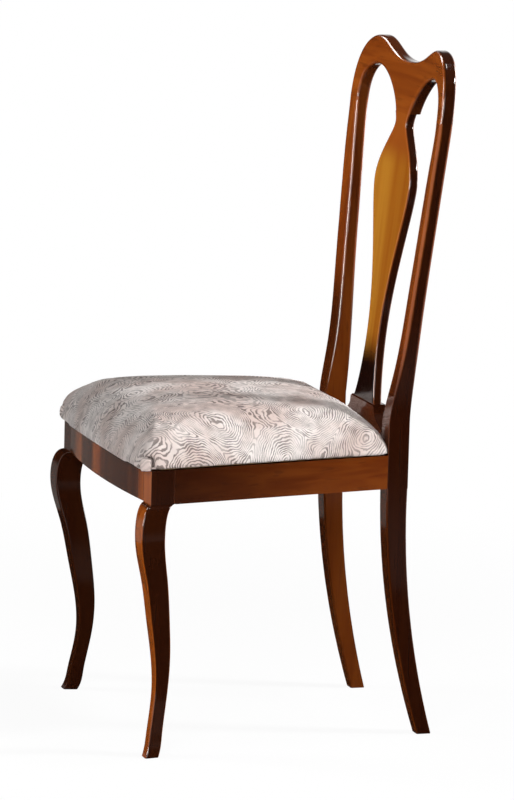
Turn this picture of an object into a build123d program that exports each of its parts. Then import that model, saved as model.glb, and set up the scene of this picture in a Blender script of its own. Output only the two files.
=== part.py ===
from build123d import *
from math import atan2, cos, radians, sin, sqrt, tan
import os

# A dining chair with an upholstered seat, in millimetres, with +Z up.
# It faces -Y, its middle is X = 0, and its left side, as one sits on it, is +X.

# Seat frame
SEAT_FRONT_WIDTH = 481.0   # over the outer corners of the front posts
SEAT_BACK_WIDTH = 332.0    # over the outer faces of the rear posts
SEAT_DEPTH = 384.0         # from the front of the front posts to the front of the rear posts
RAIL_TOP = 423.0           # height of the rails' top face above the floor
RAIL_HEIGHT = 50.0
RAIL_THICKNESS = 22.0
FRONT_RAIL_BOW = 10.5      # how far the middle of the front rail stands out
REAR_RAIL_INSET = 0.5      # rear rail's back inside the back of the rear posts
RAIL_EDGE = 1.5            # rounding along the rails' lower outer edges

# Front legs: a square section that swings out at the knee, in at the ankle and out at the foot
FRONT_POST = 39.0
KNEE_OUT = 16.5
KNEE_SIZE = 38.5
ANKLE_IN = 18.5
ANKLE_SIZE = 21.0
FOOT_IN = 2.0
FOOT_SIZE = 21.5
LEG_EDGE = 3.0             # rounding along the legs
POST_EDGE = 1.5            # rounding along the posts, where the rails meet them

# Rear posts: a leg that sweeps back to the floor, a straight length at the seat, and a stile
REAR_POST_WIDTH = 33.5
REAR_POST_DEPTH = 32.5
REAR_FOOT_WIDTH = 21.5
REAR_FOOT_DEPTH = 22.5
REAR_LEG_SWEEP = 59.0
POST_ABOVE_RAIL = 45.0
STILE_SPLAY = 42.5         # how far the stile's outer face moves out on its way up
STILE_WIDTH = 34.5
STILE_DEPTH = 20.5
STILE_TOP_WIDTH = 29.0
STILE_EDGE = 6.0           # rounding along stiles and crest
STILE_START = 0.28         # share of the height above the straight length that turns it into a stile

# The back lies on one hollow surface: leaning back, and curved in plan around the sitter
BACK_LEAN = 6.1            # degrees
BACK_HOLLOW = 1560.0       # radius in plan

# Splat and its shoe
SHOE_HEIGHT = 57.0
SHOE_MARGIN = 6.0          # shoe's top beyond the splat's foot, at each end
SHOE_END_GAP = 18.5        # between the shoe's foot and a rear post
SHOE_THICKNESS = 19.0
SHOE_COVE = 2.0            # hollow moulding along the shoe's top front edge
SHOE_STEP = 3.0            # how far the ends' upper moulding stands out of the top
SHOE_FLARE = 4.0           # how far the ends spread below their hollow
SPLAT_THICKNESS = 14.5
SPLAT_EDGE = 4.5
VENEER_THICKNESS = 1.0
SPLAT_FOOT_HALF = 47.0
SPLAT_STEM_HALF = 27.5     # half-width of the narrowest place above the foot
SPLAT_STEM_RISE = 102.0    # from the shoe up to the stem's narrowest place
SPLAT_VASE_HALF = 80.5     # half-width of the widest place
SPLAT_VASE_RISE = 224.0    # from the stem up to the widest place
SPLAT_NECK_HALF = 25.0     # half-width of the narrowest place under the crest
SPLAT_NECK_RISE = 91.0     # from the widest place up to the neck
SPLAT_TAB_RISE = 15.0      # from the neck up to the crest
TENON_HALF = 18.0
TENON_THICKNESS = 6.0
TENON_LENGTH = 16.0

# Crest rail
CREST_TAB_HALF = 31.5      # half-width where crest and splat meet
CREST_TAB_SLANT = 24.3     # degrees, slope of the edges there
CREST_FOOT_RISE = 5.0      # joint with the stiles, above the joint with the splat
CREST_THICKNESS = 21.0
HUMP_RISE = 99.5           # top of a hump above the joint with the stiles
HUMP_INSET = 81.5          # top of a hump inside the crest's outer side
DIP_RISE = 72.0            # top of the crest at the chair's middle above that joint
ARCH_RISE = 55.5           # top of the opening under a hump above that joint
ARCH_INSET = 53.5          # top of the opening inside the stile's inner side

# Seat pad
PAD_OVERHANG = 6.0         # pad's front beyond the front rail
PAD_SIDE_OVERHANG = 1.5
PAD_REAR_GAP = 1.2         # pad's rear before the rear posts
PAD_CROWN = 67.0           # crown of the pad over the seat board
PAD_ROUNDNESS = 0.853      # share of the pad's smaller half that its crown curves over
PAD_FULLNESS = 3.3         # how square the pad's shoulder is
PAD_LEVELS = 12            # outlines that the crown runs through
PAD_LEVEL_CROWDING = 1.6   # how much closer these lie near the top
BOARD_THICKNESS = 12.0
BOARD_INSET = 6.0
FABRIC = 1.0
FOAM_GAP = 0.3             # between foam and fabric
FLANGE_WIDTH = 30.0        # fabric turned under the board
PAD_CORNER = 13.0

# Corner blocks and fixings
BLOCK_LEG = 62.0
BLOCK_HEIGHT = 32.0
BLOCK_SEAT = 12.0          # wood left under a screw's head
SCREW_RADIUS = 2.25
SCREW_HEAD_RADIUS = 4.5
SCREW_HEAD_HEIGHT = 3.0
SCREW_COVER = 8.0          # rail left beyond a screw's end
SEAT_SCREW_COVER = 3.0     # seat board left beyond a screw's end
BLOCK_SCREW_SHARE = 0.62   # place of a corner block's screw along the block's leg
SEAT_SCREW_SHARE = 0.36    # place of a seat screw along both legs of the block
DOWEL_RADIUS = 4.0
DOWEL_LENGTH = 38.0
DOWEL_WALL = 2.0           # wood between neighbouring dowels of two rails
FIT = 0.05                 # clearance around dowels and screws
JOINT_GAP = 0.2            # clearance around tenons and in the blind end of a hole

rail_bottom = RAIL_TOP - RAIL_HEIGHT
rail_middle = RAIL_TOP - RAIL_HEIGHT / 2
half_front = SEAT_FRONT_WIDTH / 2
half_back = SEAT_BACK_WIDTH / 2
front_y = -SEAT_DEPTH / 2
rear_y = SEAT_DEPTH / 2
taper = atan2(half_front - half_back, SEAT_DEPTH)
side_way = Vector(-sin(taper), cos(taper), 0)
side_in = Vector(-cos(taper), -sin(taper), 0)
post_rear_y = front_y + FRONT_POST * cos(taper)
post_front_x = half_front - FRONT_POST
block_top = RAIL_TOP + POST_ABOVE_RAIL
inner_post_x = half_back - REAR_POST_WIDTH
rear_rail_thickness = REAR_POST_DEPTH - REAR_RAIL_INSET
shoe_front = rear_y + rear_rail_thickness - SHOE_THICKNESS
shoe_top = RAIL_TOP + SHOE_HEIGHT
shoe_top_half = SPLAT_FOOT_HALF + SHOE_MARGIN
back_foot_y = shoe_front + (SHOE_THICKNESS - SPLAT_THICKNESS) / 2
stem_height = shoe_top + SPLAT_STEM_RISE
vase_height = stem_height + SPLAT_VASE_RISE
neck_height = vase_height + SPLAT_NECK_RISE
tab_end = neck_height + SPLAT_TAB_RISE
tab = Vector(CREST_TAB_HALF, tab_end)
tab_way = Vector(sin(radians(CREST_TAB_SLANT)), cos(radians(CREST_TAB_SLANT)))
crest_joint = tab_end + CREST_FOOT_RISE
crest_outer_x = half_back + STILE_SPLAY
crest_inner_x = crest_outer_x - STILE_TOP_WIDTH
hump_top = crest_joint + HUMP_RISE
screw_bite = RAIL_THICKNESS - SCREW_COVER
seat_screw_bite = BOARD_THICKNESS - SEAT_SCREW_COVER
dowel_step = 2 * DOWEL_RADIUS + DOWEL_WALL
board_bottom = RAIL_TOP + FABRIC
board_top = board_bottom + BOARD_THICKNESS


def side_x(y, inset=0.0):
    """Half-width of the seat frame at y, drawn in by an inset measured square to the side rail."""
    return half_front - (y - front_y) * tan(taper) - inset / cos(taper)


def back_front(x, z):
    """Y of the hollow back's front surface."""
    middle = back_foot_y + (z - shoe_top) * tan(radians(BACK_LEAN))
    return middle - BACK_HOLLOW + sqrt(BACK_HOLLOW ** 2 - x ** 2)


def back_slab(near, far, bottom, top):
    """A slice of the hollow back between two depths behind its front surface."""
    reach = half_back + 2 * STILE_SPLAY
    curves = []
    for depth in (near, far):
        ends = [(side * reach, back_front(reach, bottom) + depth) for side in (-1, 1)]
        curves.append(ThreePointArc(ends[0], (0, back_front(0, bottom) + depth), ends[1]))
    sides = [Line(curves[0] @ end, curves[1] @ end) for end in (0, 1)]
    lean = radians(BACK_LEAN)
    face = make_face([*curves, *sides])
    return extrude(Pos(0, 0, bottom) * face, (top - bottom) / cos(lean), dir=(0, sin(lean), cos(lean)))


def through_y(outline):
    """Extrudes an outline drawn in X and Z right through the back."""
    return extrude(Plane.XZ * outline, 2 * SEAT_DEPTH, both=True)


def section(corners, edge, z):
    """A four-cornered section with rounded corners, lying flat at height z."""
    outline = make_face(Polyline(*corners, close=True))
    return Pos(0, 0, z) * fillet(outline.vertices(), edge)


def rod(start, way, length, radius):
    """A round rod from a point, along a direction."""
    foot = (Align.CENTER, Align.CENTER, Align.MIN)
    return Plane(origin=start, z_dir=way) * Cylinder(radius, length, align=foot)


def dowel(middle, way):
    """A dowel, centred on a joint."""
    return rod(middle - way * (DOWEL_LENGTH / 2), way, DOWEL_LENGTH, DOWEL_RADIUS)


def dowel_hole(middle, way):
    """The hole for one dowel, through both pieces that it joins."""
    reach = DOWEL_LENGTH / 2 + JOINT_GAP
    return rod(middle - way * reach, way, 2 * reach, DOWEL_RADIUS + FIT)


def mirrored(shape):
    """The same piece on the other side of the chair."""
    return mirror(shape, about=Plane.YZ)


# Places of the dowels on the left side: high and low pairs, so that two rails' dowels pass in a post
high_pair = [rail_middle + 1.5 * dowel_step, rail_middle - 0.5 * dowel_step]
low_pair = [rail_middle + 0.5 * dowel_step, rail_middle - 1.5 * dowel_step]
along_x = Vector(1, 0, 0)
upward = Vector(0, 0, 1)
front_dowel_y = front_y + RAIL_THICKNESS / 2
front_dowel_x = half_front - FRONT_POST - (front_dowel_y - front_y) * tan(taper)
front_rail_joints = [(Vector(front_dowel_x, front_dowel_y, z), along_x) for z in high_pair]
side_middle = RAIL_THICKNESS / 2
side_front_joints = [(Vector(side_x(post_rear_y, side_middle), post_rear_y, z), side_way) for z in low_pair]
side_rear_joints = [(Vector(side_x(rear_y, side_middle), rear_y, z), side_way) for z in low_pair]
rear_rail_y = rear_y + rear_rail_thickness / 2
rear_rail_joints = [(Vector(inner_post_x, rear_rail_y, z), along_x) for z in high_pair]
crest_dowel_x = crest_outer_x - STILE_TOP_WIDTH / 2
crest_dowel_y = back_front(crest_dowel_x, crest_joint) + CREST_THICKNESS / 2
crest_joints = [(Vector(crest_dowel_x, crest_dowel_y, crest_joint), upward)]
shoe_joints = [(Vector(shoe_top_half / 2, shoe_front + SHOE_THICKNESS / 2, RAIL_TOP), upward)]


def drilled(piece, *joint_lists):
    """Drills a left-hand piece for the dowels of its joints."""
    for joints in joint_lists:
        for middle, way in joints:
            piece = piece - dowel_hole(middle, way)
    return piece


def drilled_both(piece, *joint_lists):
    """Drills a piece that crosses the chair for its dowels on both sides."""
    for joints in joint_lists:
        for middle, way in joints:
            hole = dowel_hole(middle, way)
            piece = piece - hole - mirrored(hole)
    return piece


def dowel_group(joints):
    """The dowels of a joint on both sides of the chair."""
    rods = [dowel(middle, way) for middle, way in joints]
    return rods + [mirrored(each) for each in rods]


def front_leg():
    """Cabriole leg and post, left side."""
    knee, ankle = KNEE_OUT, -ANKLE_IN
    shape = [
        # share of the leg's height, step out of the post's corner, size across
        (0.00, -FOOT_IN, FOOT_SIZE),
        (0.08, -FOOT_IN + 0.45 * (ankle + FOOT_IN), ANKLE_SIZE),
        (0.24, ankle, ANKLE_SIZE),
        (0.38, 0.93 * ankle, 0.75 * ANKLE_SIZE + 0.25 * KNEE_SIZE),
        (0.54, 0.40 * ankle, 0.45 * ANKLE_SIZE + 0.55 * KNEE_SIZE),
        (0.70, 0.22 * knee, 0.24 * ANKLE_SIZE + 0.76 * KNEE_SIZE),
        (0.83, 0.93 * knee, 0.05 * ANKLE_SIZE + 0.95 * KNEE_SIZE),
        (0.91, knee, KNEE_SIZE),
        (0.97, 0.72 * knee, KNEE_SIZE),
        (1.00, 0.0, FRONT_POST),
    ]

    def square(step, size, edge, z):
        corner = Vector(half_front + step, front_y - step, 0)
        across = Vector(-size, 0, 0)
        along = side_way * size
        corners = [corner, corner + across, corner + across + along, corner + along]
        return section(corners, edge, z)

    leg = loft([square(step, size, LEG_EDGE, share * rail_bottom) for share, step, size in shape])
    post = extrude(square(0.0, FRONT_POST, POST_EDGE, rail_bottom), RAIL_HEIGHT)
    return drilled(post + leg, front_rail_joints, side_front_joints)


def rear_post():
    """Rear leg, straight length and stile in one piece, left side."""

    def upright(outer, width, depth, edge, z, hollow):
        inner = outer - width
        fronts = [rear_y + hollow * (back_front(x, z) - rear_y) for x in (outer, inner)]
        corners = [
            (outer, fronts[0]),
            (inner, fronts[1]),
            (inner, fronts[1] + depth),
            (outer, fronts[0] + depth),
        ]
        return section(corners, edge, z)

    leg_sections = []
    for share in (0.0, 0.2, 0.4, 0.6, 0.8, 1.0):
        fall = (1 - share) ** 2
        width = REAR_POST_WIDTH - (REAR_POST_WIDTH - REAR_FOOT_WIDTH) * fall
        depth = REAR_FOOT_DEPTH + (REAR_POST_DEPTH - REAR_FOOT_DEPTH) * share
        flat = upright(half_back, width, depth, LEG_EDGE, share * rail_bottom, 0.0)
        leg_sections.append(Pos(0, REAR_LEG_SWEEP * fall, 0) * flat)

    near_top_width = (STILE_TOP_WIDTH + STILE_WIDTH) / 2
    stile_shape = [
        # at even heights: share of the splay, width, share of the post's extra depth, of the hollow back
        (0.00, REAR_POST_WIDTH, 1.00, 0.00),
        (0.08, REAR_POST_WIDTH, 0.55, 0.80),
        (0.26, STILE_WIDTH, 0.24, 1.00),
        (0.44, STILE_WIDTH, 0.10, 1.00),
        (0.62, STILE_WIDTH, 0.03, 1.00),
        (0.79, STILE_WIDTH, 0.00, 1.00),
        (0.93, near_top_width, 0.00, 1.00),
    ]
    stile_sections = []
    for index, (splay, width, heft, hollow) in enumerate(stile_shape):
        share = index / len(stile_shape)
        z = block_top + share * (crest_joint - block_top)
        depth = STILE_DEPTH + (REAR_POST_DEPTH - STILE_DEPTH) * heft
        edge = POST_EDGE + (STILE_EDGE - POST_EDGE) * min(1.0, share / STILE_START)
        stile_sections.append(upright(half_back + splay * STILE_SPLAY, width, depth, edge, z, hollow))
    top = upright(crest_outer_x, STILE_TOP_WIDTH, CREST_THICKNESS, STILE_EDGE, crest_joint, 1.0)
    stile_sections.append(top)

    straight = upright(half_back, REAR_POST_WIDTH, REAR_POST_DEPTH, POST_EDGE, rail_bottom, 0.0)
    block = extrude(straight, block_top - rail_bottom)
    post = block + loft(leg_sections) + loft(stile_sections)
    return drilled(post, side_rear_joints, rear_rail_joints, crest_joints)


def side_rail():
    """Side rail between the front and rear posts, left side."""
    corners = [
        (side_x(post_rear_y), post_rear_y),
        (side_x(rear_y), rear_y),
        (side_x(rear_y, RAIL_THICKNESS), rear_y),
        (side_x(post_rear_y, RAIL_THICKNESS), post_rear_y),
    ]
    rail = extrude(Pos(0, 0, rail_bottom) * make_face(Polyline(*corners, close=True)), RAIL_HEIGHT)
    outer_face = rail.faces().sort_by(Axis.X)[-1]
    rail = fillet(outer_face.edges().sort_by(Axis.Z)[0], RAIL_EDGE)
    return drilled(rail, side_front_joints, side_rear_joints)


def front_rail():
    """Front rail with a bowed face, cut to length between the slanted sides of the front posts."""
    middle_y = front_y - FRONT_RAIL_BOW
    back_y = front_y + RAIL_THICKNESS
    end_y = middle_y + FRONT_RAIL_BOW * (half_front / post_front_x) ** 2
    bow = Bezier((-half_front, end_y), (0, 2 * middle_y - end_y), (half_front, end_y))
    back = Polyline((-half_front, end_y), (-half_front, back_y), (half_front, back_y), (half_front, end_y))
    rail = extrude(Pos(0, 0, rail_bottom) * make_face([bow, back]), RAIL_HEIGHT)
    rail = fillet(rail.faces().sort_by(Axis.Y)[0].edges().sort_by(Axis.Z)[0], RAIL_EDGE)
    ends = [(post_front_x - (y - front_y) * tan(taper), y) for y in (middle_y, back_y)]
    corners = [*ends, *[(-x, y) for x, y in reversed(ends)]]
    length = extrude(make_face(Polyline(*corners, close=True)), 2 * RAIL_TOP)
    return drilled_both(rail & length, front_rail_joints)


def rear_rail():
    """Straight rear rail between the rear posts."""
    rail = Pos(0, rear_rail_y, rail_middle) * Box(2 * inner_post_x, rear_rail_thickness, RAIL_HEIGHT)
    rail = fillet(rail.faces().sort_by(Axis.Y)[-1].edges().sort_by(Axis.Z)[0], RAIL_EDGE)
    return drilled_both(rail, rear_rail_joints, shoe_joints)


def both_halves(stretches):
    """Smooth curves on the left, each given by its four control points, and their mirror images."""
    left = [Bezier(*points) for points in stretches]
    right = [Bezier(*[(-x, z) for x, z in points]) for points in stretches]
    return left + right


def rounded_plate(curves, thickness, edge, bottom, top):
    """A plate of the hollow back with this outline, its long front and back edges rounded."""
    slab = back_slab(0, thickness, bottom - 2 * thickness, top + 2 * thickness)
    plate = through_y(make_face(curves)) & slab
    wide_faces = plate.faces().sort_by(SortBy.AREA)[-2:]
    outline = [each for face in wide_faces for each in face.edges()]
    level = [each for each in outline if each.bounding_box().size.Z < FIT]
    return fillet([each for each in outline if each not in level], edge)


def tenon(edge_z, way, grow):
    """A tenon of the splat, or its mortise where it grows by a clearance."""
    inside = (SPLAT_THICKNESS - TENON_THICKNESS) / 2
    tip = edge_z + way * (TENON_LENGTH + grow)
    height = abs(tip - edge_z)
    blank = Pos(0, (edge_z + tip) / 2) * Rectangle(2 * (TENON_HALF + grow), height)
    bottom = min(edge_z, tip) - TENON_LENGTH
    slab = back_slab(inside - grow, inside + TENON_THICKNESS + grow, bottom, bottom + 3 * TENON_LENGTH)
    return through_y(blank) & slab


def crest_rail():
    """Double-humped crest with its two shoulders and the tab for the splat."""
    outer_x, inner_x = crest_outer_x, crest_inner_x
    hump_x = outer_x - HUMP_INSET
    dip_top = crest_joint + DIP_RISE
    arch_x = inner_x - ARCH_INSET
    arch_top = crest_joint + ARCH_RISE
    tab_handle = tab + tab_way * (0.46 * (arch_top - tab_end))
    shoulder = [
        (outer_x, crest_joint),
        (outer_x, crest_joint + 0.64 * HUMP_RISE),
        (hump_x + 0.61 * HUMP_INSET, hump_top),
        (hump_x, hump_top),
    ]
    hump = [
        (hump_x, hump_top),
        (0.72 * hump_x, hump_top),
        (0.55 * hump_x, dip_top),
        (0, dip_top),
    ]
    outer_arch = [
        (inner_x, crest_joint),
        (inner_x, crest_joint + 0.64 * ARCH_RISE),
        (arch_x + 0.56 * ARCH_INSET, arch_top),
        (arch_x, arch_top),
    ]
    inner_arch = [
        (arch_x, arch_top),
        (arch_x - 0.40 * (arch_x - CREST_TAB_HALF), arch_top),
        (tab_handle.X, tab_handle.Y),
        (tab.X, tab.Y),
    ]
    curves = both_halves([shoulder, hump, outer_arch, inner_arch])
    feet = [Line((side * inner_x, crest_joint), (side * outer_x, crest_joint)) for side in (-1, 1)]
    tab_edge = Line((-tab.X, tab.Y), (tab.X, tab.Y))
    crest = rounded_plate([*curves, *feet, tab_edge], CREST_THICKNESS, STILE_EDGE, tab_end, hump_top)
    return drilled_both(crest, crest_joints) - tenon(tab_end, 1, JOINT_GAP)


def splat_blank():
    """The whole vase-shaped plate with its edges rounded, before it is faced."""
    tab_handle = tab - tab_way * (0.4 * SPLAT_TAB_RISE)
    foot = [
        (SPLAT_FOOT_HALF, shoe_top),
        (0.55 * SPLAT_STEM_HALF + 0.45 * SPLAT_FOOT_HALF, shoe_top + 0.18 * SPLAT_STEM_RISE),
        (SPLAT_STEM_HALF, stem_height - 0.36 * SPLAT_STEM_RISE),
        (SPLAT_STEM_HALF, stem_height),
    ]
    body = [
        (SPLAT_STEM_HALF, stem_height),
        (SPLAT_STEM_HALF, stem_height + 0.42 * SPLAT_VASE_RISE),
        (SPLAT_VASE_HALF, vase_height - 0.18 * SPLAT_VASE_RISE),
        (SPLAT_VASE_HALF, vase_height),
    ]
    shoulder = [
        (SPLAT_VASE_HALF, vase_height),
        (SPLAT_VASE_HALF, vase_height + 0.44 * SPLAT_NECK_RISE),
        (SPLAT_NECK_HALF, neck_height - 0.16 * SPLAT_NECK_RISE),
        (SPLAT_NECK_HALF, neck_height),
    ]
    neck = [
        (SPLAT_NECK_HALF, neck_height),
        (SPLAT_NECK_HALF, neck_height + 0.33 * SPLAT_TAB_RISE),
        (tab_handle.X, tab_handle.Y),
        (tab.X, tab.Y),
    ]
    curves = both_halves([foot, body, shoulder, neck])
    ends = [
        Line((-SPLAT_FOOT_HALF, shoe_top), (SPLAT_FOOT_HALF, shoe_top)),
        Line((-tab.X, tab.Y), (tab.X, tab.Y)),
    ]
    return rounded_plate([*curves, *ends], SPLAT_THICKNESS, SPLAT_EDGE, shoe_top, tab_end)


def splat_layer(near, far):
    """One layer of the splat's plate, between two depths behind the hollow back's front."""
    return splat_blank() & back_slab(near, far, shoe_top - TENON_LENGTH, tab_end + TENON_LENGTH)


def back_splat():
    """Splat core with a tenon at each end."""
    core = splat_layer(VENEER_THICKNESS, 2 * SPLAT_THICKNESS)
    return core + tenon(tab_end, 1, 0.0) + tenon(shoe_top, -1, 0.0)


def splat_veneer():
    """Face veneer of the splat."""
    return splat_layer(-SPLAT_THICKNESS, VENEER_THICKNESS)


def splat_shoe():
    """Moulded block on the rear rail, which takes the splat's foot."""
    shoulder = shoe_top - 0.2 * SHOE_HEIGHT
    waist = RAIL_TOP + 0.3 * SHOE_HEIGHT
    foot_half = inner_post_x - SHOE_END_GAP
    top = Vector(shoe_top_half, shoe_top)
    step = Vector(shoe_top_half + SHOE_STEP, shoulder)
    flare = Vector(foot_half - SHOE_FLARE, waist)
    foot = Vector(foot_half, RAIL_TOP)
    pull = Vector(0.92 * step.X + 0.08 * flare.X, 0.6 * shoulder + 0.4 * waist)

    def end_moulding(side):
        def place(point):
            return (side * point.X, point.Y)

        hollow = Bezier(place(step), place(pull), place(flare))
        return [Line(place(top), place(step)), hollow, Line(place(flare), place(foot))]

    level = [Line((-point.X, point.Y), (point.X, point.Y)) for point in (top, foot)]
    blank = through_y(make_face(level + end_moulding(-1) + end_moulding(1)))
    slice_y = Pos(0, shoe_front + SHOE_THICKNESS / 2, RAIL_TOP)
    shoe = blank & (slice_y * Box(4 * foot_half, SHOE_THICKNESS, 4 * SHOE_HEIGHT))
    cove = Pos(0, shoe_front, shoe_top) * Rot(0, 90, 0) * Cylinder(SHOE_COVE, 4 * foot_half)
    return drilled_both(shoe - cove, shoe_joints) - tenon(shoe_top, -1, JOINT_GAP)


def pad_outline(inset, z):
    """The seat's plan, drawn in on all sides, lying flat at height z."""
    front = front_y - PAD_OVERHANG + inset
    rear = rear_y - PAD_REAR_GAP - inset
    front_half = side_x(front, inset - PAD_SIDE_OVERHANG)
    rear_half = side_x(rear, inset - PAD_SIDE_OVERHANG)
    outline = [
        ThreePointArc((-front_half, front), (0, front - FRONT_RAIL_BOW), (front_half, front)),
        Line((front_half, front), (rear_half, rear)),
        Line((rear_half, rear), (-rear_half, rear)),
        Line((-rear_half, rear), (-front_half, front)),
    ]
    face = make_face(outline)
    rounding = min(PAD_CORNER + inset, 0.4 * (rear - front), 0.8 * rear_half)
    return Pos(0, 0, z) * fillet(face.vertices(), rounding)


def pad_form(foot_z, foot_inset, shrink):
    """The crowned pad with its drawn-in foot, made smaller by a shrink on every side."""
    pad_depth = SEAT_DEPTH + PAD_OVERHANG - PAD_REAR_GAP
    crown_inset = PAD_ROUNDNESS * min(pad_depth / 2, (half_front + half_back) / 2)
    levels = [(foot_z, foot_inset)]
    for level in range(PAD_LEVELS + 1):
        share = 1 - (1 - level / PAD_LEVELS) ** PAD_LEVEL_CROWDING
        inset = crown_inset * (1 - sqrt(1 - share ** PAD_FULLNESS))
        levels.append((board_top + share * (PAD_CROWN - shrink), inset + shrink))
    return loft([pad_outline(inset, z) for z, inset in levels], ruled=True)


def seat_board():
    """Plywood seat board, drilled for the seat screws."""
    board = extrude(pad_outline(BOARD_INSET, board_bottom), BOARD_THICKNESS)
    return board - seat_screw_holes()


def seat_foam():
    """Crowned foam on the seat board."""
    form = pad_form(board_bottom, BOARD_INSET, FABRIC + FOAM_GAP)
    below = Pos(0, 0, board_bottom) * Box(4 * half_front, 4 * SEAT_DEPTH, 2 * BOARD_THICKNESS)
    return form - below


def seat_cover():
    """Fabric over foam and board, drawn in at the foot and turned under the board."""
    outer = pad_form(RAIL_TOP, BOARD_INSET - FABRIC - FOAM_GAP, 0.0)
    inner = pad_form(board_bottom, BOARD_INSET - FOAM_GAP, FABRIC)
    opening = extrude(pad_outline(FLANGE_WIDTH, RAIL_TOP - FABRIC), 3 * FABRIC)
    return outer - inner - opening - seat_screw_holes()


def dust_cover():
    """Thin cloth under the board, inside the turned-under fabric."""
    cloth = extrude(pad_outline(FLANGE_WIDTH + FOAM_GAP, RAIL_TOP), FABRIC)
    return cloth - seat_screw_holes()


front_block_corner = Vector(side_x(front_y + RAIL_THICKNESS, RAIL_THICKNESS), front_y + RAIL_THICKNESS, 0)
rear_block_corner = Vector(side_x(rear_y, RAIL_THICKNESS), rear_y, 0)
block_bottom = RAIL_TOP - BLOCK_HEIGHT


def block_ways(front):
    """Corner of a left-hand corner block, and the directions of its two legs along the rails."""
    if front:
        return front_block_corner, Vector(-1, 0, 0), side_way
    return rear_block_corner, Vector(-1, 0, 0), -side_way


def seat_screw_place(front):
    """Where a seat screw goes up through a left-hand corner block."""
    corner, across, along = block_ways(front)
    reach = SEAT_SCREW_SHARE * BLOCK_LEG
    return corner + across * reach + along * reach + Vector(0, 0, block_bottom)


def seat_screw_hole(front):
    """A hole for one seat screw, up to its end in the board."""
    length = BLOCK_HEIGHT + FABRIC + seat_screw_bite + JOINT_GAP
    return rod(seat_screw_place(front), upward, length, SCREW_RADIUS + FIT)


def seat_screw_holes():
    """The holes of all four seat screws."""
    left = seat_screw_hole(True) + seat_screw_hole(False)
    return left + mirrored(left)


def seat_screws():
    """Four screws, up through the corner blocks into the seat board."""
    screws = []
    for front in (True, False):
        place = seat_screw_place(front)
        shank = rod(place, upward, BLOCK_HEIGHT + FABRIC + seat_screw_bite, SCREW_RADIUS)
        head = rod(place, -upward, SCREW_HEAD_HEIGHT, SCREW_HEAD_RADIUS)
        screws.append(shank + head)
    return screws + [mirrored(each) for each in screws]


def block_screw_places(front):
    """Face point and direction into the rail of the two screws of a left-hand corner block."""
    corner, across, along = block_ways(front)
    height = Vector(0, 0, RAIL_TOP - BLOCK_HEIGHT / 2)
    reach = BLOCK_SCREW_SHARE * BLOCK_LEG
    to_rail = Vector(0, -1 if front else 1, 0)
    return [(corner + along * reach + height, -side_in), (corner + across * reach + height, to_rail)]


def corner_block(front):
    """Glued and screwed block in a corner of the seat frame, left side."""
    corner, across, along = block_ways(front)
    points = [corner, corner + across * BLOCK_LEG, corner + along * BLOCK_LEG]
    flat = make_face(Polyline(*points, close=True))
    block = extrude(Pos(0, 0, block_bottom) * flat, BLOCK_HEIGHT)
    if front:
        start = Vector(half_front, front_y, 0)
        post_points = [
            start,
            start + Vector(-FRONT_POST, 0, 0),
            start + Vector(-FRONT_POST, 0, 0) + side_way * FRONT_POST,
            start + side_way * FRONT_POST,
        ]
        post = extrude(make_face(Polyline(*post_points, close=True)), 2 * RAIL_TOP)
        block = block - post
    for face_point, into in block_screw_places(front):
        block = block - rod(face_point, -into, BLOCK_LEG, SCREW_RADIUS + FIT)
        block = block - rod(face_point - into * BLOCK_SEAT, -into, BLOCK_LEG, SCREW_HEAD_RADIUS + 4 * FIT)
    return block - seat_screw_hole(front)


def block_screws():
    """The screws that hold the corner blocks to the rails."""
    screws = []
    for front in (True, False):
        for face_point, into in block_screw_places(front):
            seat = face_point - into * BLOCK_SEAT
            shank = rod(seat, into, BLOCK_SEAT + screw_bite, SCREW_RADIUS)
            head = rod(seat, -into, SCREW_HEAD_HEIGHT, SCREW_HEAD_RADIUS)
            screws.append(shank + head)
    return screws + [mirrored(each) for each in screws]


def rail_screw_hole(front, index):
    """The hole that one corner-block screw makes in its rail."""
    face_point, into = block_screw_places(front)[index]
    return rod(face_point, into, screw_bite + JOINT_GAP, SCREW_RADIUS + FIT)


def solids_of(made):
    """The separate solids of a piece, or of a group of pieces."""
    pieces = made if isinstance(made, list) else [made]
    return [solid for piece in pieces for solid in piece.solids()]


# Pieces of the left side, and those that cross the chair
leg = front_leg()
post = rear_post()
side = side_rail() - rail_screw_hole(True, 0) - rail_screw_hole(False, 0)
front_hole = rail_screw_hole(True, 1)
rear_hole = rail_screw_hole(False, 1)
front_block = corner_block(True)
rear_block = corner_block(False)

nodes = {
    "front_leg_left": leg,
    "front_leg_right": mirrored(leg),
    "rear_post_left": post,
    "rear_post_right": mirrored(post),
    "side_rail_left": side,
    "side_rail_right": mirrored(side),
    "front_rail": front_rail() - front_hole - mirrored(front_hole),
    "rear_rail": rear_rail() - rear_hole - mirrored(rear_hole),
    "crest_rail": crest_rail(),
    "back_splat": back_splat(),
    "splat_veneer": splat_veneer(),
    "splat_shoe": splat_shoe(),
    "corner_block_front_left": front_block,
    "corner_block_front_right": mirrored(front_block),
    "corner_block_rear_left": rear_block,
    "corner_block_rear_right": mirrored(rear_block),
    "corner_block_screws": block_screws(),
    "seat_screws": seat_screws(),
    "front_rail_dowels": dowel_group(front_rail_joints),
    "side_rail_front_dowels": dowel_group(side_front_joints),
    "side_rail_rear_dowels": dowel_group(side_rear_joints),
    "rear_rail_dowels": dowel_group(rear_rail_joints),
    "crest_dowels": dowel_group(crest_joints),
    "shoe_dowels": dowel_group(shoe_joints),
    "seat_board": seat_board(),
    "seat_foam": seat_foam(),
    "seat_cover": seat_cover(),
    "dust_cover": dust_cover(),
}

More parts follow.
